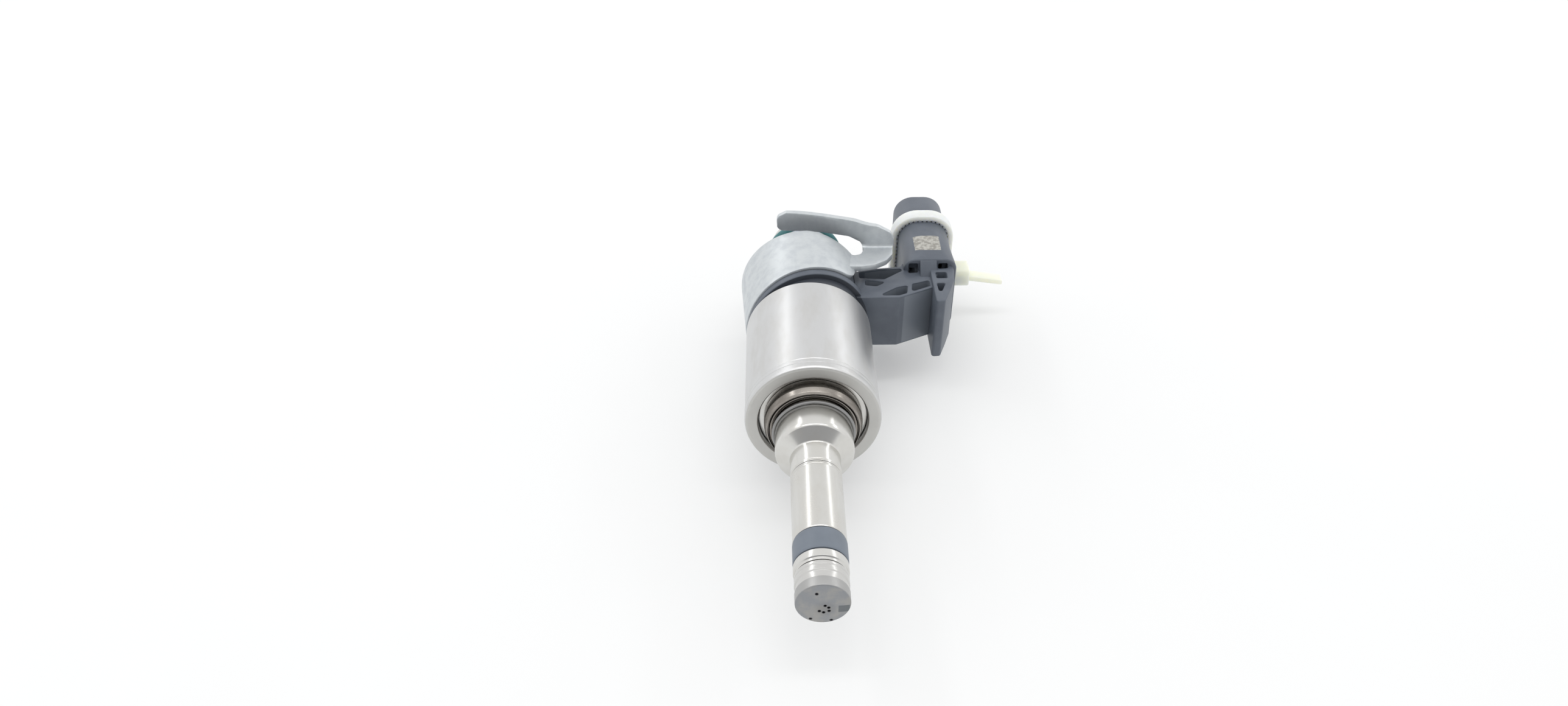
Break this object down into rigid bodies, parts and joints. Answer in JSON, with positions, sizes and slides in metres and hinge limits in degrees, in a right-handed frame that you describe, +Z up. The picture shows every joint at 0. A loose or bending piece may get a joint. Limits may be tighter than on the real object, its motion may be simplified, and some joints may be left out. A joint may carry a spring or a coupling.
{
  "type": "fuel injector",
  "caption": "High-pressure petrol direct injector with solenoid housing, side connector, spring hold-down clip and nozzle tip.",
  "frame": {"origin": "centre of the end face of the nozzle tip", "axes": "+Y runs along the injector from the tip to the fuel inlet, +X points to the electrical connector, +Z is up as the injector lies"},
  "size_m": [0.0502, 0.0944, 0.027],
  "materials": {
    "stainless_steel": "fine turned",
    "spring_steel": "bright drawn wire",
    "magnet_iron": "ground",
    "zinc_plate": "zinc plated, satin",
    "bronze": "heat-tinted, satin",
    "copper": "enamelled wire",
    "tinned_terminal": "tin plated",
    "ptfe": "smooth blue-grey",
    "black_nylon": "moulded, satin",
    "bobbin_nylon": "moulded",
    "teal_rubber": "smooth",
    "natural_nylon": "translucent natural",
    "filter_mesh": "woven mesh"
  },
  "bodies": {
    "injector": {"valve_seat": "stainless_steel", "nozzle_tube": "stainless_steel", "chamber_seal": "ptfe", "valve_body": "stainless_steel", "needle_guide": "stainless_steel", "snap_ring": "spring_steel", "return_spring": "spring_steel", "separator_ring": "stainless_steel", "pole_core": "magnet_iron", "adjusting_sleeve": "stainless_steel", "inlet_tube": "stainless_steel", "backup_ring": "natural_nylon", "inlet_o_ring": "teal_rubber", "inlet_filter": "filter_mesh", "magnet_housing": "stainless_steel", "backing_washer": "stainless_steel", "decoupling_ring": "bronze", "coil_bobbin": "bobbin_nylon", "coil_winding": "copper", "cover_washer": "magnet_iron", "terminal_1": "tinned_terminal", "terminal_2": "tinned_terminal", "overmould": "black_nylon", "cable_tie": "natural_nylon"},
    "valve": {"valve_ball": "stainless_steel", "needle": "stainless_steel", "armature": "magnet_iron", "lower_stop_ring": "stainless_steel", "upper_stop_sleeve": "stainless_steel"},
    "clip": {"spring_clip": "zinc_plate"}
  },
  "joints": [
    {"name": "needle_lift", "type": "slide", "parent": "injector", "child": "valve", "axis": [0, 1, 0], "range_m": [0, 0.00008], "stiffness_N_per_m": 200, "springref_m": -0.002, "deforming": ["return_spring"]},
    {"name": "clip_swivel", "type": "hinge", "parent": "injector", "child": "clip", "pos_m": [0, 0.07, 0], "axis": [0, 1, 0], "range_deg": [-2, 2]}
  ]
}
